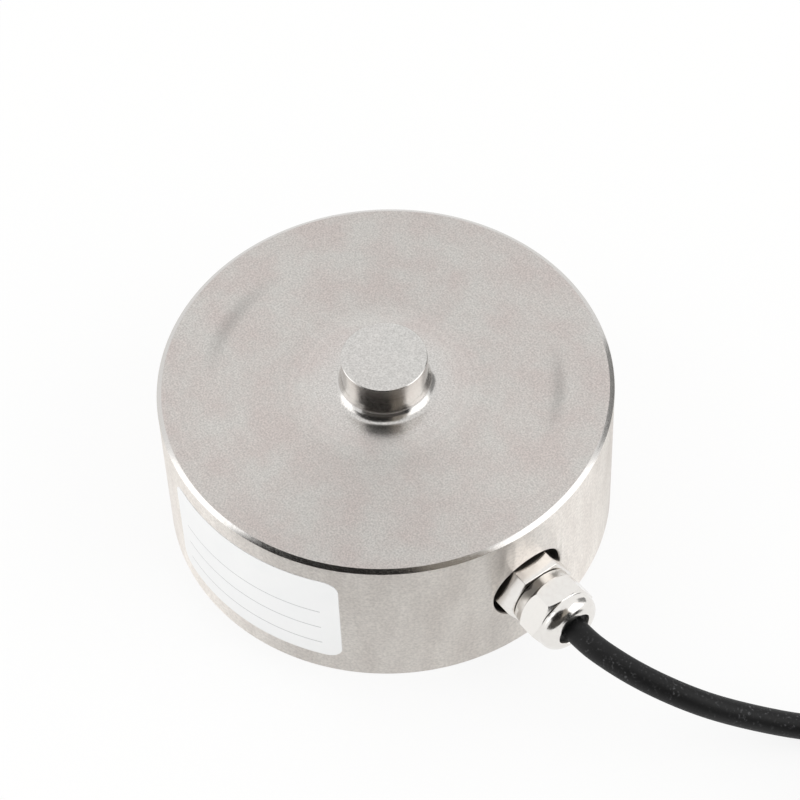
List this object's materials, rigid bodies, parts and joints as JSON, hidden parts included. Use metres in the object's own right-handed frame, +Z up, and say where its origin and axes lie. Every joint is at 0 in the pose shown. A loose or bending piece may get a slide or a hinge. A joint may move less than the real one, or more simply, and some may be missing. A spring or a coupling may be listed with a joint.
{
  "type": "compression load cell",
  "caption": "Round stainless-steel compression load cell with a raised centre load button, a side label and a black cable leaving through a domed metal gland.",
  "frame": {"origin": "centre of the base face, on the axis of the disc", "axes": "+Z up through the load button, +X out along the cable gland"},
  "size_m": [0.235, 0.1066, 0.0443],
  "materials": {
    "machined_steel": "fine turned satin",
    "nickel_plated_brass": "bright nickel plate",
    "black_rubber": "matte",
    "grey_nylon": "moulded",
    "black_cable_jacket": "matte, lightly scuffed",
    "black_nylon": "moulded",
    "label_film": "printed film",
    "gauge_foil": "amber film",
    "board_laminate": "solder mask",
    "resistor_body": "glazed",
    "tinned_copper": "tinned",
    "red_insulation": "extruded",
    "black_insulation": "extruded",
    "green_insulation": "extruded",
    "white_insulation": "extruded"
  },
  "bodies": {
    "root": {"sensor_body": "machined_steel", "base_cover": "machined_steel", "gland_body": "nickel_plated_brass", "gland_dome_nut": "nickel_plated_brass", "gland_o_ring": "black_rubber", "gland_seal": "black_rubber", "gland_claw": "grey_nylon", "cable_tail": "black_cable_jacket", "cable_lead": "black_cable_jacket", "cable_coil": "black_cable_jacket", "coil_tie_1": "black_nylon", "coil_tie_2": "black_nylon", "side_label": "label_film", "strain_gauge_inner_1": "gauge_foil", "strain_gauge_inner_2": "gauge_foil", "strain_gauge_inner_3": "gauge_foil", "strain_gauge_inner_4": "gauge_foil", "strain_gauge_outer_1": "gauge_foil", "strain_gauge_outer_2": "gauge_foil", "strain_gauge_outer_3": "gauge_foil", "strain_gauge_outer_4": "gauge_foil", "bridge_board": "board_laminate", "zero_resistor": "resistor_body", "span_resistor": "resistor_body", "temperature_resistor": "resistor_body", "gauge_jumpers": "tinned_copper", "tinned_tips": "tinned_copper", "board_wire_red": "red_insulation", "lead_wire_red": "red_insulation", "board_wire_black": "black_insulation", "lead_wire_black": "black_insulation", "board_wire_green": "green_insulation", "lead_wire_green": "green_insulation", "board_wire_white": "white_insulation", "lead_wire_white": "white_insulation"}
  },
  "joints": []
}
